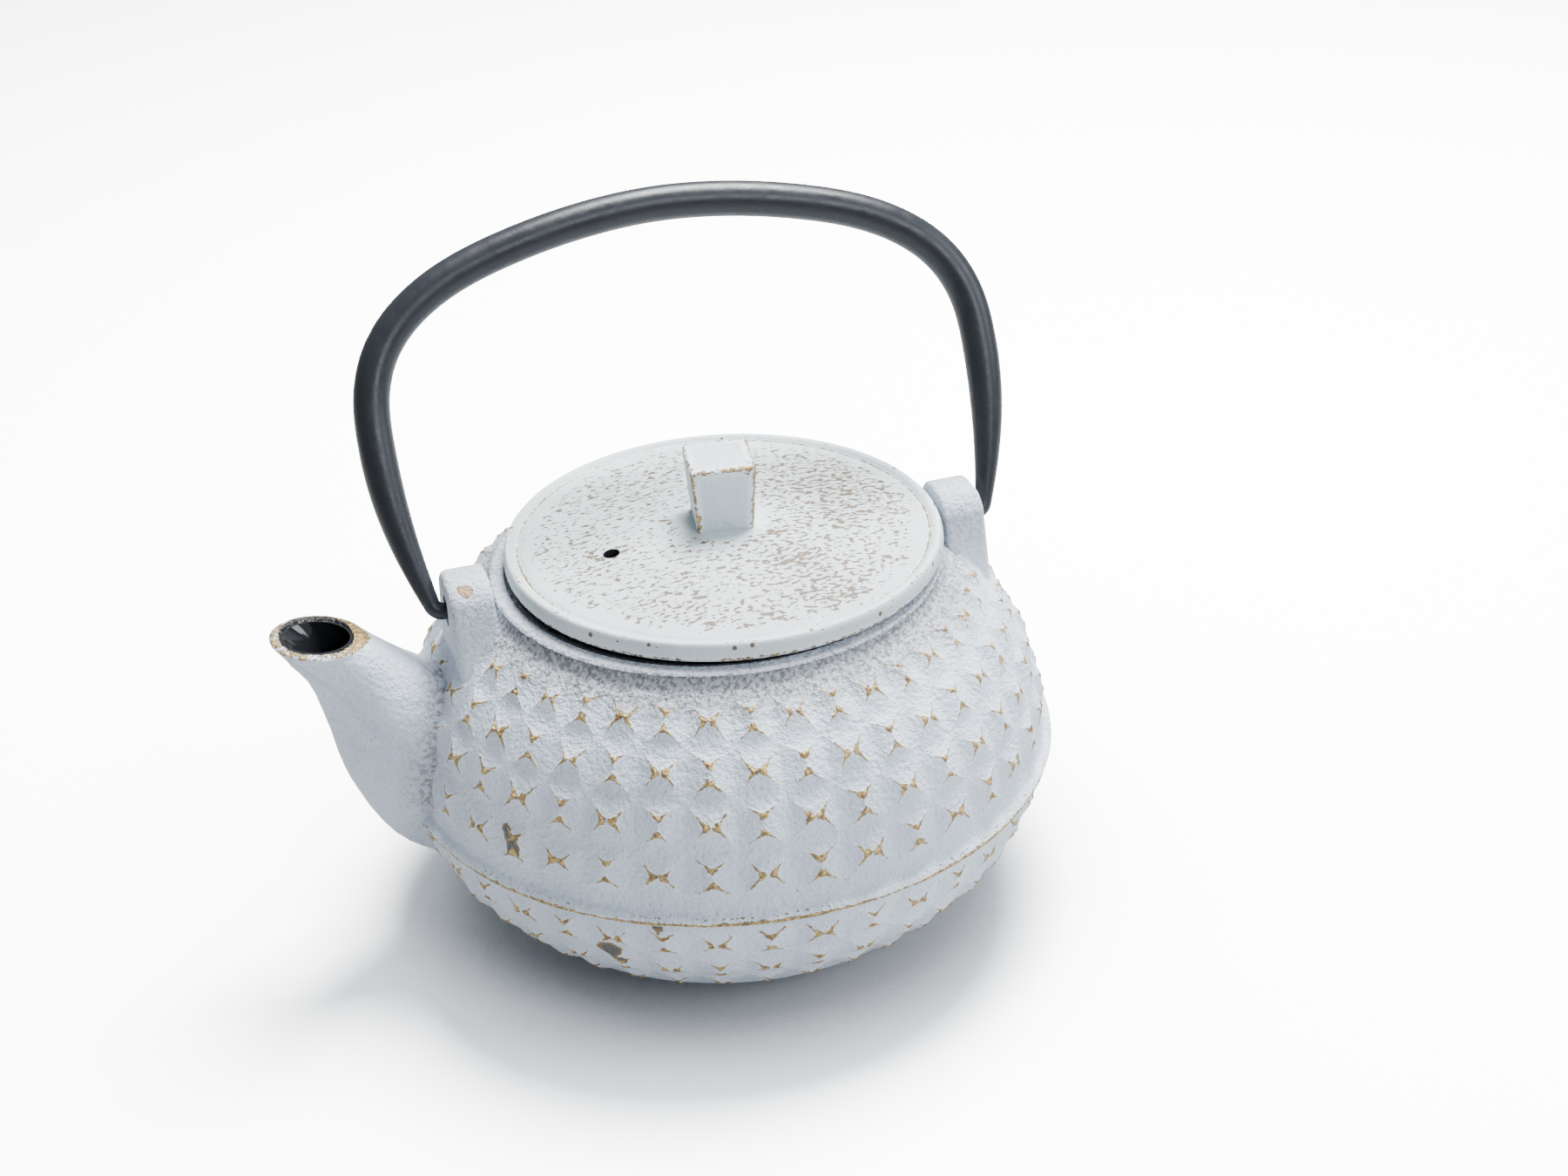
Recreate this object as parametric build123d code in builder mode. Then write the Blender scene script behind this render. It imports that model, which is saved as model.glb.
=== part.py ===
from build123d import *
import math
import os

# Small cast iron teapot with a bail handle, a drop-in lid and a hanging tea basket.
# Frame: +Z up, origin at the centre of the flat base, +X along the spout. Millimetres.

os.makedirs("parts", exist_ok=True)

# --- driving dimensions -------------------------------------------------------------
BELT_R = 74.6            # bowl radius at the widest line
BELT_Z = 39.0            # height of the widest line above the table
UPPER_H = 60.0           # rise of the shoulder curve if it ran on to the axis
UPPER_POWER = 2.15       # a little squarer than an ellipse
LOWER_H = 47.25          # drop of the lower curve if it ran on to the axis
WALL = 3.4               # iron wall
FLOOR = 4.4              # iron floor
LAND_Z = 85.4            # flat land round the mouth, where the lid sits
LAND_R = 50.0
MOUTH_R = 41.0
SEAT_R = 45.0            # rebate in the land for the basket's flange
SEAT_DEPTH = 1.9
ENAMEL = 0.4             # fired enamel inside the pot
ENAMEL_LAND_R = 47.6     # the enamel stops here on the land
GAP = 0.3                # air between pieces that lift apart

BEAD_R = 1.3             # raised belt round the widest line

LOWER_TOP_Z = 37.2       # the casting's pieces meet here, just under the belt,
RIM_LOW_Z = 76.0         # and here, under the land
PORT_HALF = 13.0         # half width of the piece of wall round the spout's port
PORT_TOP_Z = 63.0

PIVOT_X = 61.6           # outer face of each ear
PIVOT_Z = 84.0           # height of the handle's pivot line
PIN_R = 1.9
PIN_CLEARANCE = 0.05
PIN_DEPTH = 7.0          # how far a handle end reaches into its ear

EAR_INNER_X = 51.9
EAR_TOP_Z = 92.0
EAR_TOP_HALF = 7.0
EAR_BASE_HALF = 13.5
EAR_BASE_Z = 68.0
EAR_CORNER = 4.5
EAR_EDGE = 1.6
EAR_SLOT_LENGTH = 7.6
EAR_SLOT_WIDTH = 4.8
EAR_SLOT_DEPTH = 1.6

BAIL_R = 4.0             # radius of the handle bar along the grip
BAIL_LEAN = 27.5         # degrees the handle leans towards -Y at rest
BAIL_APEX = 80.6         # pivot line to the middle of the grip bar

LID_R = 49.3
LID_SHIFT = 2.0          # the lid sits loose, this far back from the spout
VENT_TURN = 8.0          # degrees from +X to the steam vent
KNOB_TURN = -8.0         # degrees the knob stands turned from square
LID_Z = LAND_Z + ENAMEL + GAP + 0.3
LID_EDGE = 4.7           # thickness at the rim
LID_CENTRE_Z = 94.4      # flat boss under the knob
BOSS_R = 9.6
SPIGOT_R = 36.0          # ring under the lid that keeps it in the mouth
SPIGOT_BORE = 33.0
SPIGOT_DROP = 4.6
LID_ENAMEL = 0.3
VENT_R = 1.8
VENT_FROM_CENTRE = 26.8

KNOB_FOOT = 12.6         # side of the square knob at the lid
KNOB_HEIGHT = 15.6
KNOB_TAPER = -4.0        # degrees; it widens upwards
KNOB_EDGE = 0.9

FLANGE_R = 44.0
FLANGE_Z = LAND_Z - SEAT_DEPTH + ENAMEL + GAP
FLANGE_T = 0.8
BASKET_R = 39.4
BASKET_T = 0.6
BASKET_FLOOR_Z = 34.0
HOOP_HEIGHT = 6.0

SPOUT_WALL = 2.4
SPOUT_PORT_R = 9.0       # round port through the bowl wall
SPOUT_PORT_Z = 50.0


def superellipse(z, half_width, half_height, power):
    """Radius at height z of a curve that is half_width wide at z = 0."""
    return half_width * (1 - (abs(z) / half_height) ** power) ** (1 / power)


def shell_radius(z, inset=0.0):
    """Bowl radius at height z, taken in from the outside by inset."""
    if z >= BELT_Z:
        return superellipse(z - BELT_Z, BELT_R - inset, UPPER_H - inset, UPPER_POWER)
    return superellipse(z - BELT_Z, BELT_R - inset, LOWER_H - inset, 2)


def curve_points(z_low, z_high, count, inset=0.0):
    """Points up the side of the bowl, evenly spaced in height."""
    step = (z_high - z_low) / (count - 1)
    return [(shell_radius(z_low + step * i, inset), z_low + step * i) for i in range(count)]


def side_curves(z_low, z_high, inset=0.0):
    """Two smooth runs, one below and one above the widest line, both upright there."""
    widest = (BELT_R - inset, BELT_Z)
    lower = curve_points(z_low, BELT_Z, 4, inset)
    upper = curve_points(BELT_Z, z_high, 5, inset)
    Spline(*lower[:-1], widest, tangents=[(lower[1][0] - lower[0][0], lower[1][1] - lower[0][1]), (0, 1)])
    Spline(widest, *upper[1:], tangents=[(0, 1), (upper[-1][0] - upper[-2][0], upper[-1][1] - upper[-2][1])])
    return lower[0], upper[-1]


CORNER_Z = LAND_Z - 0.9   # where the shoulder curve gives way to the rim's rounded corner
INNER_TOP_Z = LAND_Z - WALL
INNER_LOW_Z = FLOOR + 2.6


def cavity_face(skin, top_z, land_r):
    """Half section of the hollow in the bowl, smaller by skin all round."""
    top_inner = INNER_TOP_Z - skin
    low, high = side_curves(INNER_LOW_Z, top_inner, WALL + skin)
    floor_r = low[0] - 2.6 + skin
    corner = (low[0] - 0.8, FLOOR + 0.8 + skin * 0.6)
    ThreePointArc(low, corner, (floor_r, FLOOR + skin))
    Polyline(
        (floor_r, FLOOR + skin),
        (0, FLOOR + skin),
        (0, top_z),
        (land_r, top_z),
        (land_r, LAND_Z + skin),
        (SEAT_R - skin, LAND_Z + skin),
        (SEAT_R - skin, LAND_Z - SEAT_DEPTH + skin),
        (MOUTH_R - skin, LAND_Z - SEAT_DEPTH + skin),
        (MOUTH_R - skin, top_inner),
        high,
    )


# --- spout outline: underside point, topside point and width at each station ----------
SPOUT_STATIONS = [
    ((66.0, 20.0), (52.0, 56.0), 27.0),
    ((79.5, 31.0), (60.5, 67.0), 31.5),
    ((87.5, 47.0), (67.0, 72.0), 26.5),
    ((90.6, 62.0), (72.0, 75.6), 20.8),
    ((93.6, 73.5), (76.2, 79.0), 18.6),
    ((100.2, 84.6), (80.2, 82.2), 19.4),
]


def spout_sections(inset):
    """Plane and two half axes of the oval at each station, all ovals smaller by inset."""
    sections = []
    for (low_x, low_z), (top_x, top_z), width in SPOUT_STATIONS:
        across = Vector(top_x - low_x, 0, top_z - low_z)
        centre = Vector((top_x + low_x) / 2, 0, (top_z + low_z) / 2)
        along = across.normalized().rotate(Axis.Y, 90)
        plane = Plane(origin=centre, x_dir=across.normalized(), z_dir=along)
        sections.append((plane, across.length / 2 - inset, width / 2 - inset))
    return sections


# --- shared cutting shapes, never written out -----------------------------------------
with BuildPart() as bowl_envelope:
    with BuildSketch(Plane.XZ):
        with BuildLine():
            foot, shoulder = side_curves(0.0, CORNER_Z)
            ThreePointArc(shoulder, (LAND_R + 0.45, LAND_Z - 0.22), (LAND_R - 0.3, LAND_Z))
            Polyline((LAND_R - 0.3, LAND_Z), (0, LAND_Z), (0, 0), foot)
        make_face()
        with Locations((BELT_R - BEAD_R / 3, BELT_Z)):
            Circle(BEAD_R)
    revolve(axis=Axis.Z)

with BuildPart() as spout_channel:
    for oval_plane, half_height, half_width in spout_sections(SPOUT_WALL):
        with BuildSketch(oval_plane):
            Ellipse(half_height, half_width)
    loft()

with BuildPart() as spout_bore:
    for oval_plane, half_height, half_width in spout_sections(SPOUT_WALL + ENAMEL):
        with BuildSketch(oval_plane):
            Ellipse(half_height, half_width)
    loft()

with BuildPart() as spout_port:
    with BuildSketch(Plane.YZ.offset(50)):
        with Locations((0, SPOUT_PORT_Z)):
            Circle(SPOUT_PORT_R)
    extrude(amount=BELT_R + 2 - 50)

# --- body casting, kept as five pieces so that each one has simple, open collision ------
with BuildPart() as casting:
    add(bowl_envelope.part)
    with BuildSketch(Plane.XZ):
        with BuildLine():
            cavity_face(0.0, LAND_Z + 5, LAND_R + 5)
        make_face()
    revolve(axis=Axis.Z, mode=Mode.SUBTRACT)
    add(spout_port.part, mode=Mode.SUBTRACT)

with BuildPart() as port_block:
    with BuildSketch(Plane.XY.offset(LOWER_TOP_Z)):
        with Locations((BELT_R - 10, 0)):
            Rectangle(40, 2 * PORT_HALF)
    extrude(amount=PORT_TOP_Z - LOWER_TOP_Z)

with BuildPart() as pot_base:
    add(casting.part)
    split(bisect_by=Plane.XY.offset(FLOOR), keep=Keep.BOTTOM)

with BuildPart() as pot_lower:
    add(casting.part)
    split(bisect_by=Plane.XY.offset(FLOOR), keep=Keep.TOP)
    split(bisect_by=Plane.XY.offset(LOWER_TOP_Z), keep=Keep.BOTTOM)

with BuildPart() as pot_shoulder:
    add(casting.part)
    split(bisect_by=Plane.XY.offset(LOWER_TOP_Z), keep=Keep.TOP)
    split(bisect_by=Plane.XY.offset(RIM_LOW_Z), keep=Keep.BOTTOM)
    add(port_block.part, mode=Mode.SUBTRACT)

with BuildPart() as pot_port:
    add(casting.part)
    add(port_block.part, mode=Mode.INTERSECT)

with BuildPart() as pot_rim:
    add(casting.part)
    split(bisect_by=Plane.XY.offset(RIM_LOW_Z), keep=Keep.TOP)

with BuildPart() as pot_enamel:
    with BuildSketch(Plane.XZ):
        with BuildLine():
            cavity_face(0.0, LAND_Z + ENAMEL, ENAMEL_LAND_R)
        make_face()
    revolve(axis=Axis.Z)
    with BuildSketch(Plane.XZ):
        with BuildLine():
            cavity_face(ENAMEL, LAND_Z + 5, LAND_R + 5)
        make_face()
    revolve(axis=Axis.Z, mode=Mode.SUBTRACT)
    add(spout_port.part, mode=Mode.SUBTRACT)

with BuildPart() as pot_spout:
    for oval_plane, half_height, half_width in spout_sections(0.0):
        with BuildSketch(oval_plane):
            Ellipse(half_height, half_width)
    loft()
    add(spout_channel.part, mode=Mode.SUBTRACT)
    add(bowl_envelope.part, mode=Mode.SUBTRACT)

with BuildPart() as spout_enamel:
    add(spout_channel.part)
    add(spout_bore.part, mode=Mode.SUBTRACT)
    add(bowl_envelope.part, mode=Mode.SUBTRACT)


# --- the two ears: rounded tabs on the shoulder, bored for the handle's ends -----------
ears = {}
for ear_name, side in (("ear_front", 1), ("ear_rear", -1)):
    with BuildPart() as ear:
        with BuildSketch(Plane.YZ.offset(side * EAR_INNER_X)):
            with BuildLine():
                Polyline(
                    (-EAR_BASE_HALF, EAR_BASE_Z),
                    (-EAR_TOP_HALF, EAR_TOP_Z),
                    (EAR_TOP_HALF, EAR_TOP_Z),
                    (EAR_BASE_HALF, EAR_BASE_Z),
                    close=True,
                )
            make_face()
        extrude(amount=side * (PIVOT_X - EAR_INNER_X))
        fillet(ear.edges().filter_by(Axis.X).group_by(Axis.Z)[-1], EAR_CORNER)
        outer_face = ear.faces().filter_by(Axis.X).sort_by(Axis.X)[-1 if side > 0 else 0]
        fillet(outer_face.edges(), EAR_EDGE)
        add(bowl_envelope.part, mode=Mode.SUBTRACT)
        with BuildSketch(Plane.YZ.offset(side * PIVOT_X)):
            with Locations((0, PIVOT_Z)):
                SlotOverall(EAR_SLOT_LENGTH, EAR_SLOT_WIDTH, rotation=90)
        extrude(amount=-side * EAR_SLOT_DEPTH, mode=Mode.SUBTRACT)
        with BuildSketch(Plane.YZ.offset(side * PIVOT_X)):
            with Locations((0, PIVOT_Z)):
                Circle(PIN_R + PIN_CLEARANCE)
        extrude(amount=-side * (PIVOT_X - EAR_INNER_X), mode=Mode.SUBTRACT)
    ears[ear_name] = ear

# --- lid ------------------------------------------------------------------------------
LID_TOP_Z = LID_Z + LID_EDGE
BEAD_WIDTH = 2.8         # rolled edge round the lid, with a groove inside it
GROOVE_DEPTH = 0.6
lid_axis = Axis((-LID_SHIFT, 0, 0), (0, 0, 1))
lid_plane = Plane(origin=(-LID_SHIFT, 0, 0), x_dir=(1, 0, 0), z_dir=(0, -1, 0))
knob_frame = Location((-LID_SHIFT, 0, 0), (0, 0, KNOB_TURN))
vent_angle = math.radians(VENT_TURN)
vent_x = VENT_FROM_CENTRE * math.cos(vent_angle) - LID_SHIFT
vent_y = VENT_FROM_CENTRE * math.sin(vent_angle)

with BuildPart() as lid_plate:
    with BuildSketch(lid_plane):
        with BuildLine():
            Polyline(
                (BOSS_R, LID_CENTRE_Z),
                (0, LID_CENTRE_Z),
                (0, LID_Z),
                (SPIGOT_BORE, LID_Z),
                (SPIGOT_BORE, LID_Z - SPIGOT_DROP),
                (SPIGOT_R, LID_Z - SPIGOT_DROP),
                (SPIGOT_R, LID_Z),
                (LID_R - 1.4, LID_Z),
            )
            ThreePointArc((LID_R - 1.4, LID_Z), (LID_R - 0.1, LID_Z + 1.7), (LID_R - 0.5, LID_TOP_Z - 1.0))
            ThreePointArc(
                (LID_R - 0.5, LID_TOP_Z - 1.0),
                (LID_R - 1.5, LID_TOP_Z),
                (LID_R - BEAD_WIDTH, LID_TOP_Z - GROOVE_DEPTH),
            )
            Spline(
                (LID_R - BEAD_WIDTH, LID_TOP_Z - GROOVE_DEPTH),
                (LID_R - 9.0, LID_TOP_Z - 0.1),
                (BOSS_R + 14.0, LID_CENTRE_Z - 1.4),
                (BOSS_R, LID_CENTRE_Z),
                tangents=[(-1, 0.08), (-1, 0.5)],
            )
        make_face()
    revolve(axis=lid_axis)
    with Locations((vent_x, vent_y, LID_Z)):
        Cylinder(VENT_R, 40, mode=Mode.SUBTRACT)

with BuildPart() as lid_enamel:
    with BuildSketch(lid_plane):
        with BuildLine():
            Polyline(
                (0, LID_Z),
                (SPIGOT_BORE, LID_Z),
                (SPIGOT_BORE, LID_Z - SPIGOT_DROP),
                (SPIGOT_R, LID_Z - SPIGOT_DROP),
                (SPIGOT_R, LID_Z),
                (LID_R - 1.8, LID_Z),
                (LID_R - 1.8, LID_Z - LID_ENAMEL),
                (SPIGOT_R + LID_ENAMEL, LID_Z - LID_ENAMEL),
                (SPIGOT_R + LID_ENAMEL, LID_Z - SPIGOT_DROP - LID_ENAMEL),
                (SPIGOT_BORE - LID_ENAMEL, LID_Z - SPIGOT_DROP - LID_ENAMEL),
                (SPIGOT_BORE - LID_ENAMEL, LID_Z - LID_ENAMEL),
                (0, LID_Z - LID_ENAMEL),
                close=True,
            )
        make_face()
    revolve(axis=lid_axis)
    with Locations((vent_x, vent_y, LID_Z)):
        Cylinder(VENT_R, 40, mode=Mode.SUBTRACT)

with BuildPart() as lid_knob:
    with BuildSketch(Plane(knob_frame).offset(LID_CENTRE_Z)):
        Rectangle(KNOB_FOOT, KNOB_FOOT)
    extrude(amount=KNOB_HEIGHT, taper=KNOB_TAPER)
    top_face = lid_knob.faces().sort_by(Axis.Z)[-1]
    upright = lid_knob.edges().filter_by(lambda edge: edge.bounding_box().size.Z > 1)
    fillet(upright + top_face.edges(), KNOB_EDGE)

# --- tea basket -----------------------------------------------------------------------
with BuildPart() as infuser_rim:
    with BuildSketch(Plane.XY.offset(FLANGE_Z)):
        Circle(FLANGE_R)
        Circle(BASKET_R - BASKET_T, mode=Mode.SUBTRACT)
    extrude(amount=FLANGE_T)
    fillet(infuser_rim.edges().filter_by(GeomType.CIRCLE).sort_by(SortBy.RADIUS)[-2:], FLANGE_T * 0.45)

with BuildPart() as infuser_wall:
    with BuildSketch(Plane.XY.offset(BASKET_FLOOR_Z + HOOP_HEIGHT)):
        Circle(BASKET_R)
        Circle(BASKET_R - BASKET_T, mode=Mode.SUBTRACT)
    extrude(amount=FLANGE_Z - BASKET_FLOOR_Z - HOOP_HEIGHT)

with BuildPart() as infuser_hoop:
    with BuildSketch(Plane.XY.offset(BASKET_FLOOR_Z)):
        Circle(BASKET_R)
        Circle(BASKET_R - BASKET_T, mode=Mode.SUBTRACT)
    extrude(amount=HOOP_HEIGHT)

with BuildPart() as infuser_floor:
    with BuildSketch(Plane.XY.offset(BASKET_FLOOR_Z)):
        Circle(BASKET_R - BASKET_T)
    extrude(amount=BASKET_T)

# --- bail handle, leaning from the upright by turning its plane about the pivot line --
LEAN = math.radians(BAIL_LEAN)
across_bail = Vector(0, -math.cos(LEAN), -math.sin(LEAN))   # square to the handle's plane


def on_bail(point):
    """Place a (sideways, rise) point of the handle's plane in the pot's frame."""
    return Vector(point[0], -point[1] * math.sin(LEAN), PIVOT_Z + point[1] * math.cos(LEAN))


def bail_way(sideways, rise):
    """Turn a direction in the handle's plane into the pot's frame."""
    return Vector(sideways, -rise * math.sin(LEAN), rise * math.cos(LEAN))


SLANT = math.radians(16)       # the legs lean out from the ears by this much
BEND_R = 2.6                   # bend between each leg and its pivot end
BEND_X = PIVOT_X + 0.4
LEG_FOOT = (BEND_X + BEND_R * math.cos(SLANT), BEND_R * (1 - math.sin(SLANT)))
LEG_MIDDLE = (68.8, 21.0)
LEG_SHOULDER = (70.0, 37.0)    # full bar thickness from here up
GRIP_LINE = [                  # evenly spaced from the shoulder to the middle of the grip
    LEG_SHOULDER,
    (69.1, 48.6),
    (64.5, 59.1),
    (56.0, 67.1),
    (45.7, 72.4),
    (34.5, 75.9),
    (23.1, 78.4),
    (11.6, 80.0),
    (0.0, BAIL_APEX),
]
LEG_SECTIONS = 7


def leg_bar_radius(part_way):
    """Bar radius from the bend, part_way 0, to the full bar, part_way 1."""
    return PIN_R + (BAIL_R - PIN_R) * math.sin(part_way * math.pi / 2)


with BuildPart() as bail:
    with BuildLine():
        grip = Spline(
            *[on_bail(point) for point in GRIP_LINE],
            tangents=[bail_way(0, 1), bail_way(-1, 0)],
            tangent_scalars=[1.0, 1.0],   # without these the bar kinks near the middle
        )
    with BuildSketch(Plane(origin=grip @ 0, x_dir=across_bail, z_dir=grip % 0)):
        Circle(BAIL_R)
    grip_solid = sweep(mode=Mode.PRIVATE)
    with BuildLine(mode=Mode.PRIVATE):
        leg = Spline(
            on_bail(LEG_SHOULDER),
            on_bail(LEG_MIDDLE),
            on_bail(LEG_FOOT),
            tangents=[bail_way(0, -1), bail_way(-math.sin(SLANT), -math.cos(SLANT))],
            tangent_scalars=[1.0, 1.0],
        )
    for station in range(LEG_SECTIONS):
        part_way = station / (LEG_SECTIONS - 1)
        with BuildSketch(Plane(origin=leg @ part_way, x_dir=across_bail, z_dir=leg % part_way)):
            Circle(leg_bar_radius(1 - part_way))
    leg_solid = loft(mode=Mode.PRIVATE)
    with BuildLine():
        bend = TangentArc(
            on_bail(LEG_FOOT),
            on_bail((BEND_X, 0)),
            tangent=bail_way(-math.sin(SLANT), -math.cos(SLANT)),
        )
        Line(on_bail((BEND_X, 0)), on_bail((PIVOT_X - PIN_DEPTH, 0)))
    with BuildSketch(Plane(origin=bend @ 0, x_dir=across_bail, z_dir=bend % 0)):
        Circle(PIN_R)
    pin_solid = sweep(mode=Mode.PRIVATE)
    for length in (grip_solid, leg_solid, pin_solid):
        add(length)
    mirror(about=Plane.YZ)

pieces = {
    "pot_base": pot_base,
    "pot_lower": pot_lower,
    "pot_shoulder": pot_shoulder,
    "pot_port": pot_port,
    "pot_rim": pot_rim,
    "pot_enamel": pot_enamel,
    "pot_spout": pot_spout,
    "spout_enamel": spout_enamel,
    "ear_front": ears["ear_front"],
    "ear_rear": ears["ear_rear"],
    "lid_plate": lid_plate,
    "lid_knob": lid_knob,
    "lid_enamel": lid_enamel,
    "infuser_rim": infuser_rim,
    "infuser_wall": infuser_wall,
    "infuser_hoop": infuser_hoop,
    "infuser_floor": infuser_floor,
    "bail": bail,
}
for name, piece in pieces.items():
    piece.part.label = name
    export_step(piece.part, f"parts/{name}.step")
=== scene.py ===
import bpy
import bmesh
import math
from mathutils import Matrix, Vector


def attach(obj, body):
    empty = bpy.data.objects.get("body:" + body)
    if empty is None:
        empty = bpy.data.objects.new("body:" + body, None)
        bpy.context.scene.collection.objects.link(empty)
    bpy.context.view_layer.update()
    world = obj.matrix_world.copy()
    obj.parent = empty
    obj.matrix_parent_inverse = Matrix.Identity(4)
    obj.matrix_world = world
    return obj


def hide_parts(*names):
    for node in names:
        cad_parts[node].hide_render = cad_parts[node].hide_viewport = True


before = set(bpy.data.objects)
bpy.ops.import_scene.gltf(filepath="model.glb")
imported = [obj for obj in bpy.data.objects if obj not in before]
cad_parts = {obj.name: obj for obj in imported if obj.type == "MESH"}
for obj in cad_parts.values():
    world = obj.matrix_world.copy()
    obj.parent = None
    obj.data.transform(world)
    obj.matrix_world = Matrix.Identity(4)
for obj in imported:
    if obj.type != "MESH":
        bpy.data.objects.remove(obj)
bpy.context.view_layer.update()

MM = 0.001


# ------------------------------------------------------------------ hand tools
def deselect_all():
    if bpy.context.mode != "OBJECT":
        bpy.ops.object.mode_set(mode="OBJECT")
    bpy.ops.object.select_all(action="DESELECT")


def pick(piece):
    """Make one piece the only selected and active one."""
    deselect_all()
    piece.select_set(True)
    bpy.context.view_layer.objects.active = piece


def named(name):
    """Name the piece that was just added."""
    piece = bpy.context.object
    piece.name = name
    piece.data.name = name
    return piece


def edit(mode="FACE"):
    bpy.ops.object.mode_set(mode="EDIT")
    bpy.ops.mesh.select_mode(type=mode)


def done():
    bpy.ops.object.mode_set(mode="OBJECT")


def choose(piece, test, kind="faces"):
    """In edit mode, select the faces, edges or vertices that pass the test."""
    mesh = bmesh.from_edit_mesh(piece.data)
    for group in (mesh.verts, mesh.edges, mesh.faces):
        for part in group:
            part.select_set(False)
    for part in getattr(mesh, kind):
        if test(part):
            part.select_set(True)
    mesh.select_flush_mode()
    bmesh.update_edit_mesh(piece.data)


def place_in_mesh(piece):
    pick(piece)
    bpy.ops.object.transform_apply(location=True, rotation=True, scale=True)


def finish_modifiers(piece):
    pick(piece)
    for modifier in list(piece.modifiers):
        bpy.ops.object.modifier_apply(modifier=modifier.name)


def smooth(piece, degrees):
    pick(piece)
    bpy.ops.object.shade_smooth_by_angle(angle=math.radians(degrees))


def draw_profile(name, points, turn=0.0):
    """One vertex extruded from point to point, (radius, height) in mm, in a half plane."""
    def at(point):
        return Vector((point[0] * math.cos(turn), point[0] * math.sin(turn), point[1])) * MM
    deselect_all()
    bpy.ops.mesh.primitive_plane_add(size=0.001, location=(0, 0, 0))
    piece = named(name)
    edit("VERT")
    bpy.ops.mesh.select_all(action="SELECT")
    bpy.ops.mesh.merge(type="CENTER")
    bpy.ops.transform.translate(value=at(points[0]))
    for before, after in zip(points, points[1:]):
        bpy.ops.mesh.extrude_region_move(TRANSFORM_OT_translate={"value": at(after) - at(before)})
    done()
    return piece


def spin_round(piece, steps, centre_x=0.0):
    """Spin a profile right round an upright axis and close the seam and poles."""
    pick(piece)
    edit("VERT")
    bpy.ops.mesh.select_all(action="SELECT")
    bpy.ops.mesh.spin(steps=steps, angle=math.tau, center=(centre_x * MM, 0, 0), axis=(0, 0, 1))
    bpy.ops.mesh.select_all(action="SELECT")
    bpy.ops.mesh.remove_doubles(threshold=0.00001)
    bpy.ops.mesh.normals_make_consistent(inside=False)
    done()


def cut_away(piece, cutter):
    """Take one shape out of another."""
    pick(piece)
    cut = piece.modifiers.new("cut", "BOOLEAN")
    cut.operation = "DIFFERENCE"
    cut.solver = "EXACT"
    cut.object = cutter
    finish_modifiers(piece)


def remove(piece):
    bpy.data.objects.remove(piece, do_unlink=True)


ALONG_X = (0, math.pi / 2, 0)


def drill(piece, radius, depth, place, sides, turn=(0, 0, 0)):
    """Bore a round hole; radius, depth and the place of its middle are in mm."""
    deselect_all()
    bpy.ops.mesh.primitive_cylinder_add(vertices=sides, radius=radius * MM, depth=depth * MM,
                                        location=Vector(place) * MM, rotation=turn)
    cutter = named("drill")
    cut_away(piece, cutter)
    remove(cutter)


def roughen(piece, size, depth, group=None):
    """Uneven cast skin: soft lumps of a given size and depth in mm."""
    lumps = bpy.data.textures.new(piece.name + "_lumps", "CLOUDS")
    lumps.noise_scale = size * MM
    lumps.noise_depth = 2
    pick(piece)
    skin = piece.modifiers.new("uneven", "DISPLACE")
    skin.texture = lumps
    skin.strength = depth * MM
    skin.mid_level = 0.5
    if group:
        skin.vertex_group = group
    finish_modifiers(piece)


def belongs(piece, body, slot, *nodes):
    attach(piece, body)
    if nodes:
        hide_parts(*nodes)


def wears(piece, material):
    piece.data.materials.clear()
    piece.data.materials.append(material)


# ------------------------------------------------------------------ node helpers
class Board:
    """A node tree with short calls to add and join nodes."""

    def __init__(self, tree):
        self.tree = tree
        self.count = 0

    def add(self, kind, inputs=None, **settings):
        node = self.tree.nodes.new(kind)
        node.location = (200 * (self.count % 9), -260 * (self.count // 9))
        self.count += 1
        for key, value in settings.items():
            setattr(node, key, value)
        for key, value in (inputs or {}).items():
            self.feed(node.inputs[key], value)
        return node

    def feed(self, socket, value):
        if isinstance(value, bpy.types.NodeSocket):
            self.tree.links.new(value, socket)
        else:
            socket.default_value = value

    def math(self, operation, first, second=0.0, third=0.0, clamp=False):
        node = self.tree.nodes.new("ShaderNodeMath")
        node.operation = operation
        node.use_clamp = clamp
        for socket, value in zip(node.inputs, (first, second, third)):
            self.feed(socket, value)
        return node.outputs[0]

    def between(self, value, low, high, out_low=0.0, out_high=1.0):
        node = self.add("ShaderNodeMapRange", {0: value, 1: low, 2: high, 3: out_low, 4: out_high})
        node.interpolation_type = "SMOOTHSTEP"
        return node.outputs[0]

    def mix(self, share, first, second, blend="MIX"):
        node = self.add("ShaderNodeMix", data_type="RGBA", blend_type=blend)
        self.feed(node.inputs[0], share)
        self.feed(node.inputs[6], first)
        self.feed(node.inputs[7], second)
        return node.outputs[2]

    def noise(self, place, scale, detail=2.0, rough=0.5, stretch=None):
        if stretch:
            place = self.add("ShaderNodeMapping", {"Vector": place, "Scale": stretch}).outputs[0]
        return self.add("ShaderNodeTexNoise", {"Vector": place, "Scale": scale, "Detail": detail,
                                               "Roughness": rough}).outputs["Fac"]


def new_group(name, inputs, outputs):
    """A shader node group with named sockets; inputs and outputs are (name, kind, value)."""
    tree = bpy.data.node_groups.new(name, "ShaderNodeTree")
    for label, kind, value in inputs:
        socket = tree.interface.new_socket(name=label, in_out="INPUT", socket_type="NodeSocket" + kind)
        if value is not None:
            socket.default_value = value
    for label, kind in outputs:
        tree.interface.new_socket(name=label, in_out="OUTPUT", socket_type="NodeSocket" + kind)
    board = Board(tree)
    return tree, board, board.add("NodeGroupInput"), board.add("NodeGroupOutput")


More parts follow.
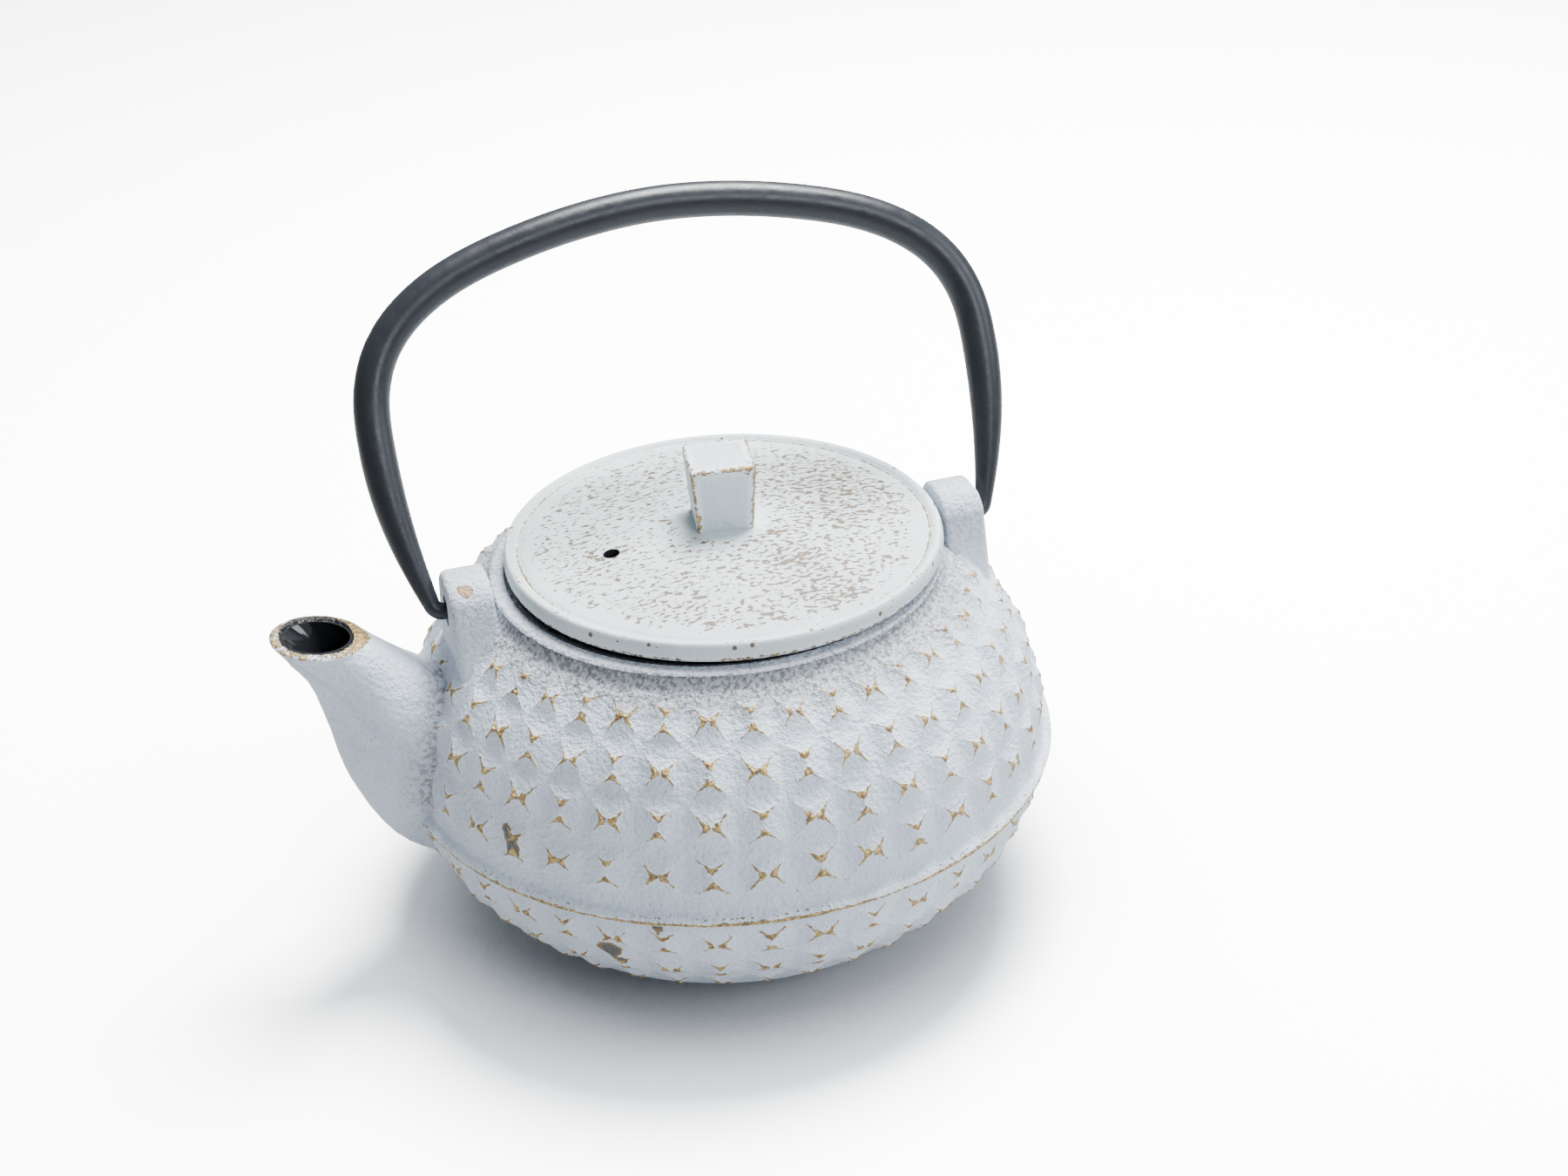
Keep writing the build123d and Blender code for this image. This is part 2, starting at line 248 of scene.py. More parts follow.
def new_material(name):
    material = bpy.data.materials.new(name)
    material.use_nodes = True
    material.node_tree.nodes.clear()
    board = Board(material.node_tree)
    shader = board.add("ShaderNodeBsdfPrincipled")
    board.add("ShaderNodeOutputMaterial", {"Surface": shader.outputs[0]})
    place = board.add("ShaderNodeTexCoord").outputs["Object"]
    return material, board, shader, place


def put_group(board, tree, **inputs):
    node = board.tree.nodes.new("ShaderNodeGroup")
    node.node_tree = tree
    for key, value in inputs.items():
        board.feed(node.inputs[key.replace("_", " ")], value)
    return node


# ------------------------------------------------------------------ shared effects
def make_cast_grain():
    """Sand-cast skin under thin paint: grain of about a millimetre, with small pits."""
    tree, board, given, result = new_group(
        "Cast Grain",
        [("Place", "Vector", None), ("Grain Scale", "Float", 900.0), ("Lump Scale", "Float", 240.0),
         ("Lump Share", "Float", 0.6)],
        [("Height", "Float"), ("Pits", "Float")])
    fine = board.noise(given.outputs["Place"], given.outputs["Grain Scale"], 3.0, 0.6)
    lumps = board.noise(given.outputs["Place"], given.outputs["Lump Scale"], 3.0, 0.55)
    height = board.math("MULTIPLY_ADD", lumps, given.outputs["Lump Share"], fine)
    board.feed(result.inputs["Height"], height)
    board.feed(result.inputs["Pits"], board.between(fine, 0.33, 0.24))
    return tree


def make_rubbed_paint():
    """Where paint is rubbed through: bare metal in the middle and a dark torn border."""
    tree, board, given, result = new_group(
        "Rubbed Paint",
        [("Place", "Vector", None), ("Wear", "Float", 0.0), ("Tear Scale", "Float", 900.0),
         ("Patch Scale", "Float", 60.0), ("Reach", "Float", 0.5)],
        [("Bare", "Float"), ("Border", "Float")])
    tears = board.noise(given.outputs["Place"], given.outputs["Tear Scale"], 4.0, 0.65)
    patches = board.noise(given.outputs["Place"], given.outputs["Patch Scale"], 1.0, 0.5)
    rubbed = board.math("MULTIPLY_ADD", board.math("SUBTRACT", tears, 0.5), 1.5, given.outputs["Wear"])
    rubbed = board.math("MULTIPLY_ADD", board.math("SUBTRACT", patches, 0.5), 0.6, rubbed)
    edge = board.math("SUBTRACT", rubbed, given.outputs["Reach"])
    edge = board.math("MULTIPLY", edge, board.between(given.outputs["Wear"], 0.02, 0.15))
    board.feed(result.inputs["Bare"], board.between(edge, 0.07, 0.15))
    board.feed(result.inputs["Border"], board.between(edge, 0.0, 0.045))
    return tree


def make_stud_ridges():
    """Wear along a stud's four ridges and its tip, from the distances to the cell's four sides."""
    tree, board, given, result = new_group(
        "Stud Ridges", [("Sides", "Vector", None), ("Ends", "Vector", None), ("Line Width", "Float", 0.16)],
        [("Wear", "Float")])
    sides = board.add("ShaderNodeSeparateXYZ", {0: given.outputs["Sides"]})
    ends = board.add("ShaderNodeSeparateXYZ", {0: given.outputs["Ends"]})
    side = board.math("MINIMUM", sides.outputs[0], sides.outputs[1])
    end = board.math("MINIMUM", ends.outputs[0], ends.outputs[1])
    inward = board.math("MINIMUM", side, end)
    apart = board.math("ABSOLUTE", board.math("SUBTRACT", side, end))
    on_line = board.math("SUBTRACT", 1.0, board.math("DIVIDE", apart, given.outputs["Line Width"]), clamp=True)
    strength = board.between(inward, 0.22, 0.92, 0.24, 1.0)
    near_end = board.math("SUBTRACT", 1.0, board.math("MULTIPLY", apart, 2.0), clamp=True)
    tip = board.math("MULTIPLY", board.between(inward, 0.58, 0.93, 0.0, 1.0), near_end)
    wear = board.math("MAXIMUM", board.math("MULTIPLY", on_line, strength), tip)
    board.feed(result.inputs["Wear"], wear)
    return tree


def make_sand_and_painted_shade():
    """Coarse dark sand spots showing through thin paint, over painted shade that darkens the whole marked area."""
    tree, board, given, result = new_group(
        "Sandy Shade", [("Place", "Vector", None), ("Amount", "Float", 0.0), ("Color", "Color", (0.8, 0.8, 0.8, 1))],
        [("Color", "Color")])
    sand = board.noise(given.outputs["Place"], 1000.0, 3.0, 0.65)
    spots = board.math("MULTIPLY", board.between(sand, 0.53, 0.43), given.outputs["Amount"])
    # painted shade: an even darkening of the marked area towards dark grey
    painted_shade_film = board.math("MULTIPLY", given.outputs["Amount"], 0.48)
    color = board.mix(painted_shade_film, given.outputs["Color"], (0.27, 0.255, 0.26, 1))
    color = board.mix(board.math("MULTIPLY", spots, 0.72), color, (0.115, 0.105, 0.10, 1))
    board.feed(result.inputs["Color"], color)
    return tree


def make_paint_chip():
    """One knocked-off flake: dark iron inside a thin torn brown edge."""
    tree, board, given, result = new_group(
        "Paint Chip", [("Place", "Vector", None), ("Centre", "Vector", None), ("Size", "Float", 0.002)],
        [("Bare", "Float"), ("Torn Edge", "Float")])
    away = board.add("ShaderNodeVectorMath", {0: given.outputs["Place"], 1: given.outputs["Centre"]},
                     operation="DISTANCE").outputs["Value"]
    tears = board.noise(given.outputs["Place"], 420.0, 4.0, 0.6)
    ragged = board.math("MULTIPLY_ADD", board.math("SUBTRACT", tears, 0.5), 1.5, 0.0)
    share = board.math("ADD", board.math("DIVIDE", away, given.outputs["Size"]), ragged)
    board.feed(result.inputs["Bare"], board.between(share, 0.92, 0.84))
    board.feed(result.inputs["Torn Edge"], board.between(share, 1.14, 1.04))
    return tree


def make_mottled_paint():
    """Slight unevenness in a brushed and baked paint colour."""
    tree, board, given, result = new_group(
        "Mottled Paint",
        [("Place", "Vector", None), ("Paint", "Color", (0.8, 0.8, 0.8, 1)), ("Shade", "Color", (0.6, 0.6, 0.6, 1)),
         ("Cloud Scale", "Float", 45.0)],
        [("Color", "Color")])
    clouds = board.noise(given.outputs["Place"], given.outputs["Cloud Scale"], 4.0, 0.6)
    share = board.between(clouds, 0.35, 0.75)
    board.feed(result.inputs["Color"], board.mix(share, given.outputs["Paint"], given.outputs["Shade"]))
    return tree


CAST_GRAIN = make_cast_grain()
RUBBED_PAINT = make_rubbed_paint()
MOTTLED_PAINT = make_mottled_paint()
STUD_RIDGES = make_stud_ridges()
PAINT_CHIP = make_paint_chip()
SAND_AND_PAINTED_SHADE = make_sand_and_painted_shade()
BODY_CHIPS = (((60.9, 40.9, 51.6), 2.0), ((60.0, 43.2, 48.6), 2.0), ((43.8, 56.8, 26.4), 2.8),
              ((41.0, 56.8, 23.0), 1.5), ((34.9, 65.8, 36.2), 1.7), ((46.4, 56.0, 28.6), 1.2))
EAR_CHIPS = (((57.6, 5.6, 91.6), 1.7),)


# ------------------------------------------------------------------ materials
GOLD = (0.60, 0.42, 0.15, 1)
GOLD_DARK = (0.24, 0.155, 0.065, 1)
BURNT = (0.15, 0.115, 0.085, 1)
IRON_GREY = (0.105, 0.115, 0.115, 1)
RUBBED_TAN = (0.42, 0.29, 0.17, 1)
PIT_GREY = (0.42, 0.40, 0.39, 1)
PAINTED_RIDGE_HIGHLIGHT = (0.83, 0.86, 0.90, 1)
FLECK_BROWN = (0.13, 0.095, 0.065, 1)
VENT_SHADE_BLACK = (0.012, 0.012, 0.014, 1)
LINING_BLACK = (0.010, 0.010, 0.012, 1)


def paint_over_iron(name, paint, shade, grain_depth, reach, speckle=None, studs=False, chips=(),
                    under_chip=IRON_GREY, lined=False):
    """Pale blue-white paint on cast iron, rubbed through to gold-brown on outward edges."""
    material, board, shader, place = new_material(name)
    wear = board.add("ShaderNodeAttribute", attribute_name="wear").outputs["Fac"]
    if studs:
        ridges = put_group(board, STUD_RIDGES, Sides=board.add("ShaderNodeUVMap", uv_map="stud_sides").outputs[0],
                           Ends=board.add("ShaderNodeUVMap", uv_map="stud_ends").outputs[0])
        wear = board.math("MAXIMUM", wear, ridges.outputs["Wear"])
    grain = put_group(board, CAST_GRAIN, Place=place)
    mottle = put_group(board, MOTTLED_PAINT, Place=place, Paint=paint, Shade=shade)
    rubbed = put_group(board, RUBBED_PAINT, Place=place, Wear=wear, Reach=reach)
    color = mottle.outputs["Color"]
    color = board.mix(board.math("MULTIPLY", grain.outputs["Pits"], 0.5), color, PIT_GREY)
    # painted highlight: a paler line beside rubbed edges and along the stud ridges
    ridge_highlight = board.math("MULTIPLY", board.between(wear, 0.10, 0.40), 0.7)
    color = board.mix(ridge_highlight, color, PAINTED_RIDGE_HIGHLIGHT)
    # dark sand spots and a film of painted shade, as strong as the mesh attribute asks
    sand_and_shade = board.add("ShaderNodeAttribute", attribute_name="sand_and_shade").outputs["Fac"]
    color = put_group(board, SAND_AND_PAINTED_SHADE, Place=place, Amount=sand_and_shade, Color=color).outputs["Color"]
    if speckle:
        marks, hole = speckle(board, place)
        color = board.mix(marks, color, FLECK_BROWN)
        # painted shade inside the lid's vent hole
        color = board.mix(hole, color, VENT_SHADE_BLACK)
    for centre, size in chips:
        chip = put_group(board, PAINT_CHIP, Place=place, Centre=tuple(value * MM for value in centre),
                         Size=size * MM)
        color = board.mix(chip.outputs["Torn Edge"], color, GOLD_DARK)
        color = board.mix(chip.outputs["Bare"], color, under_chip)
    color = board.mix(rubbed.outputs["Border"], color, BURNT)
    metal = board.mix(board.between(board.noise(place, 1000.0, 3.0, 0.6), 0.42, 0.60), GOLD_DARK, GOLD)
    color = board.mix(rubbed.outputs["Bare"], color, metal)
    rough = board.between(rubbed.outputs["Bare"], 0.0, 1.0, 0.62, 0.38)
    bare = rubbed.outputs["Bare"]
    if lined:
        lining = board.add("ShaderNodeAttribute", attribute_name="lining").outputs["Fac"]
        tears = board.noise(place, 900.0, 4.0, 0.65)
        ragged = board.math("MULTIPLY_ADD", board.math("SUBTRACT", tears, 0.5), 0.8, lining)
        lining = board.between(ragged, 0.46, 0.54)
        color = board.mix(lining, color, LINING_BLACK)
        rough = board.math("SUBTRACT", rough, board.math("MULTIPLY", lining, 0.30))
        bare = board.math("MULTIPLY", bare, board.math("SUBTRACT", 1.0, lining))
    board.feed(shader.inputs["Base Color"], color)
    board.feed(shader.inputs["Roughness"], rough)
    board.feed(shader.inputs["Metallic"], board.math("MULTIPLY", bare, 0.5))
    height = board.math("MULTIPLY_ADD", rubbed.outputs["Border"], -0.35, grain.outputs["Height"])
    bump = board.add("ShaderNodeBump", {"Height": height, "Strength": 0.9, "Distance": grain_depth})
    board.feed(shader.inputs["Normal"], bump.outputs[0])
    return material


LID_AXIS_X = -2.0
VENT_R, VENT_OUT, VENT_TURN = 1.8, 26.8, math.radians(8)
VENT = (LID_AXIS_X + VENT_OUT * math.cos(VENT_TURN), VENT_OUT * math.sin(VENT_TURN), 88)


def distance_from(board, parts, x, y):
    """Distance of the place from an upright line at x, y in mm."""
    across = board.math("SUBTRACT", parts.outputs[0], x * MM)
    along = board.math("SUBTRACT", parts.outputs[1], y * MM)
    return board.math("SQRT", board.math("ADD", board.math("MULTIPLY", across, across),
                                         board.math("MULTIPLY", along, along)))


def lid_speckle(board, place):
    """Short brown flecks over the lid, thicker towards the rear ear, dark dots on its rim,
    and painted shade: black inside its vent hole and on a thin ring round it."""
    parts = board.add("ShaderNodeSeparateXYZ", {0: place})
    radius = distance_from(board, parts, LID_AXIS_X, 0)
    ring = board.math("MULTIPLY", board.between(radius, 0.0452, 0.0405), board.between(radius, 0.0085, 0.012))
    above = board.between(parts.outputs[2], 0.0885, 0.0895)
    below_knob = board.between(parts.outputs[2], 0.0965, 0.0955)
    flecks = board.noise(place, 930.0, 1.5, 0.5, (0.70, 1.35, 1.0))
    clouds = board.noise(place, 45.0, 2.0, 0.5)
    limit = board.math("MULTIPLY_ADD", clouds, -0.16, 0.650)
    limit = board.math("SUBTRACT", limit, board.between(parts.outputs[0], 0.02, -0.035, 0.0, 0.035))
    limit = board.math("MULTIPLY_ADD", board.math("SUBTRACT", 1.0, ring), 0.16, limit)
    mark = board.between(board.math("SUBTRACT", flecks, limit), 0.0, 0.014)
    mark = board.math("MULTIPLY", mark, board.math("MULTIPLY", above, below_knob))
    dots = board.add("ShaderNodeTexVoronoi", {"Vector": place, "Scale": 300.0, "Randomness": 1.0})
    chosen = board.add("ShaderNodeSeparateColor", {0: dots.outputs["Color"]})
    dot = board.math("MULTIPLY", board.between(dots.outputs["Distance"], 0.20, 0.15),
                     board.between(chosen.outputs[0], 0.66, 0.68))
    dot = board.math("MULTIPLY", dot, board.between(radius, 0.0468, 0.0474))
    # painted shade: the vent hole's depth and a thin ring round its mouth are painted black
    from_vent = distance_from(board, parts, VENT[0], VENT[1])
    return board.math("MAXIMUM", mark, dot), board.between(from_vent, (VENT_R + 0.2) * MM, (VENT_R + 0.02) * MM)


PAINT, PAINT_SHADE = (0.68, 0.765, 0.87, 1), (0.58, 0.66, 0.76, 1)
SPOUT_IRON = paint_over_iron("spout_iron", PAINT, PAINT_SHADE, 0.0011, 0.50, lined=True)
EAR_IRON = paint_over_iron("ear_iron", PAINT, PAINT_SHADE, 0.0011, 0.50, chips=EAR_CHIPS,
                          under_chip=RUBBED_TAN)
STUDDED_IRON = paint_over_iron("studded_iron", PAINT, PAINT_SHADE, 0.0011, 0.50, studs=True, chips=BODY_CHIPS)
LID_PAINT = paint_over_iron("speckled_iron", (0.60, 0.675, 0.705, 1), (0.51, 0.575, 0.60, 1), 0.00015, 0.52,
                            lid_speckle)
KNOB_PAINT = paint_over_iron("knob_paint", (0.60, 0.69, 0.745, 1), (0.51, 0.585, 0.635, 1), 0.0004, 0.50)


def make_enamel():
    material, board, shader, place = new_material("black_enamel")
    drift = board.noise(place, 60.0, 3.0, 0.5)
    board.feed(shader.inputs["Base Color"], board.mix(drift, (0.006, 0.006, 0.007, 1), (0.013, 0.014, 0.016, 1)))
    board.feed(shader.inputs["Roughness"], board.between(board.noise(place, 220.0, 2.0), 0.2, 0.8, 0.06, 0.16))
    bump = board.add("ShaderNodeBump", {"Height": board.noise(place, 160.0, 2.0), "Strength": 0.35,
                                        "Distance": 0.0003})
    board.feed(shader.inputs["Normal"], bump.outputs[0])
    shader.inputs["Coat Weight"].default_value = 0.6
    shader.inputs["Coat Roughness"].default_value = 0.05
    return material


def make_bar():
    material, board, shader, place = new_material("black_bar")
    drift = board.noise(place, 90.0, 3.0, 0.6)
    board.feed(shader.inputs["Base Color"], board.mix(drift, (0.012, 0.0135, 0.017, 1), (0.021, 0.024, 0.030, 1)))
    board.feed(shader.inputs["Roughness"], board.between(board.noise(place, 300.0, 3.0), 0.25, 0.75, 0.30, 0.42))
    shader.inputs["Specular IOR Level"].default_value = 0.35
    bump = board.add("ShaderNodeBump", {"Height": board.noise(place, 1400.0, 3.0), "Strength": 0.25,
                                        "Distance": 0.0001})
    board.feed(shader.inputs["Normal"], bump.outputs[0])
    return material


def make_steel(name, color, rough):
    material, board, shader, place = new_material(name)
    brush = board.noise(place, 900.0, 3.0, 0.6, (0.2, 0.2, 3.0))
    dull = tuple(value * 0.8 for value in color[:3]) + (1,)
    board.feed(shader.inputs["Base Color"], board.mix(brush, color, dull))
    board.feed(shader.inputs["Roughness"], board.between(brush, 0.2, 0.8, rough - 0.06, rough + 0.08))
    shader.inputs["Metallic"].default_value = 1.0
    bump = board.add("ShaderNodeBump", {"Height": brush, "Strength": 0.2, "Distance": 0.00005})
    board.feed(shader.inputs["Normal"], bump.outputs[0])
    return material


ENAMEL_BLACK = make_enamel()
BAR_BLACK = make_bar()
STEEL = make_steel("stainless", (0.62, 0.61, 0.59, 1), 0.28)
MESH_STEEL = make_steel("stainless_mesh", (0.60, 0.59, 0.57, 1), 0.34)


# ------------------------------------------------------------------ the bowl's side curve
BELT_R, BELT_Z = 74.6, 39.0
UPPER_RISE, UPPER_POWER = 60.0, 2.15
LOWER_RISE, LOWER_POWER = 47.25, 2.0
WALL = 3.4
LAND_R, LAND_Z = 50.0, 85.4
FLOOR_Z = 4.4            # top of the bowl's floor inside
PORT_R, PORT_Z = 9.0, 50.0
CORE_DEPTH = 2.7         # how far under the skin the pieces that stand on the bowl are trimmed
COLUMNS = 40
HALF_COLUMN = math.pi / COLUMNS


def walk_side(rise, power, way):
    """Arc length from the belt, radius and height, up or down one half of the side."""
    walk = [(0.0, BELT_R, BELT_Z)]
    for step in range(1, 1500):
        turn = step / 1500 * math.pi / 2
        radius = BELT_R * math.cos(turn) ** (2 / power)
        height = BELT_Z + way * rise * math.sin(turn) ** (2 / power)
        arc = walk[-1][0] + math.hypot(radius - walk[-1][1], height - walk[-1][2])
        walk.append((arc, radius, height))
    return walk


UPPER_WALK = walk_side(UPPER_RISE, UPPER_POWER, 1)
LOWER_WALK = walk_side(LOWER_RISE, LOWER_POWER, -1)


def side_point(arc, depth=0.0):
    """Point on the side, arc mm above (+) or below (-) the belt and depth mm under the skin."""
    walk, way = (UPPER_WALK, 1) if arc >= 0 else (LOWER_WALK, -1)
    index = next(i for i in range(1, len(walk)) if walk[i][0] >= abs(arc))
    low, high = walk[index - 1], walk[index]
    share = (abs(arc) - low[0]) / (high[0] - low[0])
    radius = low[1] + (high[1] - low[1]) * share
    height = low[2] + (high[2] - low[2]) * share
    along = Vector((high[1] - low[1], high[2] - low[2])).normalized() * way
    return radius - along.y * depth, height + along.x * depth


VALLEY = 1.6             # depth of the valleys between the studs
UPPER_ROWS = [4.9, 16.2, 27.4, 38.7, 49.6]
LOWER_ROWS = [-1.9, -13.2, -24.4, -35.6]


def stud_rows():
    """Every row of studs from the top down, as (lower arc, upper arc)."""
    rows = [(UPPER_ROWS[i], UPPER_ROWS[i + 1]) for i in (3, 2, 1, 0)]
    return rows + [(LOWER_ROWS[i + 1], LOWER_ROWS[i]) for i in (0, 1, 2)]


def bowl_profile():
    """Outside from the base up to the mouth, then the inside back down to the floor."""
    points = [(0.0, 0.7), (18.0, 0.7), (34.0, 0.7), (34.8, 0.0), (40.6, 0.0), (42.0, 0.5)]
    points += [side_point(arc, depth) for arc, depth in ((-41.0, 0.3), (-38.2, 0.5), (-36.6, 1.3))]
    points += [side_point(arc, VALLEY) for arc in reversed(LOWER_ROWS)]
    points += [side_point(arc, depth) for arc, depth in (
        (-1.35, 0.6), (-0.9, -0.25), (-0.35, -0.72), (0.0, -0.8), (0.35, -0.72), (0.9, -0.2), (1.35, 0.6),
        (1.9, 1.15), (3.2, 1.45))]
    points += [side_point(arc, VALLEY) for arc in UPPER_ROWS]
    points += [side_point(arc, depth) for arc, depth in ((51.2, 1.75), (53.0, 1.2), (55.0, 0.6))]
    points += [(LAND_R + 0.9, LAND_Z - 0.55), (LAND_R + 0.3, LAND_Z - 0.12), (LAND_R - 0.4, LAND_Z)]
    points += [(47.4, LAND_Z), (45.2, LAND_Z), (45.0, LAND_Z - 0.2), (45.0, LAND_Z - 1.9), (41.2, LAND_Z - 1.9),
               (41.0, LAND_Z - 2.1), (41.0, LAND_Z - 3.4)]
    points += [side_point(arc, WALL) for arc in (47, 40, 32, 24, 16, 8, 0.5, -8, -16, -24, -32)]
    points += [(44.5, FLOOR_Z), (24.0, FLOOR_Z), (0.0, FLOOR_Z)]
    return points


STUD_LEVELS = (0.2, 0.4, 0.6, 0.8, 1.0)
LEVEL_RIDGE = 0.20       # half length of the short ridge at a stud's tip, as a share of half a cell
UPRIGHT_RIDGE = 0.32
SADDLE = 0.28            # the ridge dips this much between its two ends


def ridge_shares(column, row):
    """Studs alternate like a chessboard between a level ridge and an upright one."""
    return (LEVEL_RIDGE, 0.0) if (column + row) % 2 == 0 else (0.0, UPRIGHT_RIDGE)


def column_of(place):
    return round(math.atan2(place.y, place.x) / (2 * HALF_COLUMN)) % COLUMNS


def raise_stud_row(piece, low_arc, high_arc, row):
    """Turn one ring of plain cells into four-sided studs with a short ridge at each tip."""
    low, high = side_point(low_arc, VALLEY), side_point(high_arc, VALLEY)
    centre_z = (low[1] + high[1]) / 2 * MM
    centre_r = (low[0] + high[0]) / 2 * MM * math.cos(HALF_COLUMN)

    def is_cell(face):
        centre = face.calc_center_median()
        return abs(centre.z - centre_z) < 0.0007 and abs(centre.xy.length - centre_r) < 0.0007

    def quarter(face, vertex):
        """Which corner of its face a vertex is: left or right, lower or upper."""
        centre = face.calc_center_median()
        return (1 if centre.cross(vertex.co).z > 0 else -1, 1 if vertex.co.z > centre.z else -1)

    choose(piece, is_cell)
    mesh = bmesh.from_edit_mesh(piece.data)
    cells = {}
    for face in mesh.faces:
        if face.select:
            corners = {quarter(face, vertex): vertex.co.copy() for vertex in face.verts}
            cells[column_of(face.calc_center_median())] = (corners, face.normal.copy())
    for level in STUD_LEVELS:
        bpy.ops.mesh.inset(thickness=0.0001 * (1.1 - level), depth=0, use_individual=True)
        mesh = bmesh.from_edit_mesh(piece.data)
        for face in [face for face in mesh.faces if face.select]:
            column = column_of(face.calc_center_median())
            corners, outward = cells[column]
            across, upward = ridge_shares(column, row)
            places = {}
            for vertex in face.verts:
                side, end = quarter(face, vertex)
                x = side * (1 - (1 - across) * level)
                y = end * (1 - (1 - upward) * level)
                lower = corners[(-1, -1)].lerp(corners[(1, -1)], (x + 1) / 2)
                upper = corners[(-1, 1)].lerp(corners[(1, 1)], (x + 1) / 2)
                places[vertex] = lower.lerp(upper, (y + 1) / 2) + outward * VALLEY * MM * level ** 1.4
            for vertex, place in places.items():
                vertex.co = place
        bmesh.update_edit_mesh(piece.data)
    bpy.ops.mesh.remove_doubles(threshold=0.00002)


def chart_studs(piece):
    """Two UV maps hold how far up a stud's left, right, lower and upper face each point is,
    and the ridge at the tip is lowered between its ends."""
    mesh = piece.data
    sides = mesh.uv_layers.new(name="stud_sides")
    ends = mesh.uv_layers.new(name="stud_ends")
    across = math.tan(HALF_COLUMN)
    cells = []
    for row, (low_arc, high_arc) in enumerate(stud_rows()):
        low = Vector(side_point(low_arc, VALLEY)) * MM
        high = Vector(side_point(high_arc, VALLEY)) * MM
        low.x *= math.cos(HALF_COLUMN)
        high.x *= math.cos(HALF_COLUMN)
        cells.append((row, low, (high - low).normalized(), (high - low).length, low.x, high.x))
    dips = {}
    for face in mesh.polygons:
        centre = Vector(face.center)
        plain = Vector((centre.xy.length, centre.z))
        chosen = None
        for cell in cells:
            along = (plain - cell[1]).dot(cell[2])
            away = (plain - cell[1]).cross(cell[2])
            if 0 < along < cell[3] and -0.0008 < away < 0.003:
                chosen = cell
        if chosen is None:
            for loop in face.loop_indices:
                sides.data[loop].uv = (0.0, 1.0)
                ends.data[loop].uv = (1.0, 1.0)
            continue
        row, low, way, tall, low_r, high_r = chosen
        column = column_of(centre)
        turn = column * 2 * HALF_COLUMN
        turn_cos, turn_sin = math.cos(turn), math.sin(turn)
        share_x, share_y = ridge_shares(column, row)
        for loop in face.loop_indices:
            number = mesh.loops[loop].vertex_index
            spot = mesh.vertices[number].co
            out = spot.x * turn_cos + spot.y * turn_sin
            up = (Vector((out, spot.z)) - low).dot(way) / tall
            x = (spot.y * turn_cos - spot.x * turn_sin) / (across * (low_r + (high_r - low_r) * up))
            y = 2 * up - 1
            sides.data[loop].uv = ((1 + x) / (1 - share_x), (1 - x) / (1 - share_x))
            ends.data[loop].uv = ((1 + y) / (1 - share_y), (1 - y) / (1 - share_y))
            level = min((1 - abs(x)) / (1 - share_x), (1 - abs(y)) / (1 - share_y))
            middle = 1 - (max(abs(x) * (share_x > 0), abs(y) * (share_y > 0)) / max(share_x, share_y)) ** 2
            if level > 0.4 and middle > 0:
                dips[number] = middle * ((level - 0.4) / 0.6) ** 2
    for number, amount in dips.items():
        spot = mesh.vertices[number].co
        radial = Vector((spot.x, spot.y, 0)).normalized()
        mesh.vertices[number].co = spot - radial * amount * SADDLE * MM


def make_bowl():
    bowl = draw_profile("bowl", bowl_profile(), -HALF_COLUMN)
    spin_round(bowl, COLUMNS)
    pick(bowl)
    edit()
    for row, (low_arc, high_arc) in enumerate(stud_rows()):
        raise_stud_row(bowl, low_arc, high_arc, row)
    choose(bowl, lambda face: face.normal.xy.dot(face.calc_center_median().xy) > 0
           or face.calc_center_median().z > 0.0852)
    bpy.ops.mesh.subdivide(number_cuts=2)
    done()
    chart_studs(bowl)
    # bring the flats between spin steps out to the true circle
    for vertex in bowl.data.vertices:
        x, y, z = vertex.co
        off = (math.atan2(y, x) + HALF_COLUMN) % (2 * HALF_COLUMN) - HALF_COLUMN
        grow = math.cos(off) / math.cos(HALF_COLUMN)
        vertex.co = (x * grow, y * grow, z)
    bowl.data.update()
    skin = bowl.vertex_groups.new(name="skin")
    outside = []
    for vertex in bowl.data.vertices:
        if vertex.normal.xy.dot(vertex.co.xy) > 0 and 0.0015 < vertex.co.z < 0.0845:
            outside.append(vertex.index)
    skin.add(outside, 1.0, "REPLACE")
    store = bowl.data.attributes.new("wear", "FLOAT", "POINT")
    sand = bowl.data.attributes.new("sand_and_shade", "FLOAT", "POINT")
    for vertex, item, sand_and_shade_amount in zip(bowl.data.vertices, store.data, sand.data):
        on_belt = vertex.co.xy.length > (BELT_R - 0.4) * MM
        height = vertex.co.z / MM
        # the belt's upper line is weak wear that shows mostly as a pale painted highlight on the bead's top; the
        # lower one rubs through to gold
        above, below = abs(height - BELT_Z - 1.0), abs(height - BELT_Z + 0.05)
        item.value = max(0.0, 0.40 - 1.3 * above, 0.80 - 0.95 * below) if on_belt else 0.0
        # the collar under the lid and the land get sand spots and painted shade, the shade cast by the lid above
        # them
        sand_and_shade_amount.value = min(1.0, max(0.0, (height - 76.5) / 4.0)) if height < LAND_Z - 0.3 else 0.5
    roughen(bowl, 2.6, 0.30, "skin")
    drill(bowl, PORT_R, 20, (67, 0, PORT_Z), 48, ALONG_X)
    smooth(bowl, 24)
    wears(bowl, STUDDED_IRON)
    belongs(bowl, "pot", "painted_iron", "pot_base", "pot_lower", "pot_shoulder", "pot_port", "pot_rim")
    return bowl


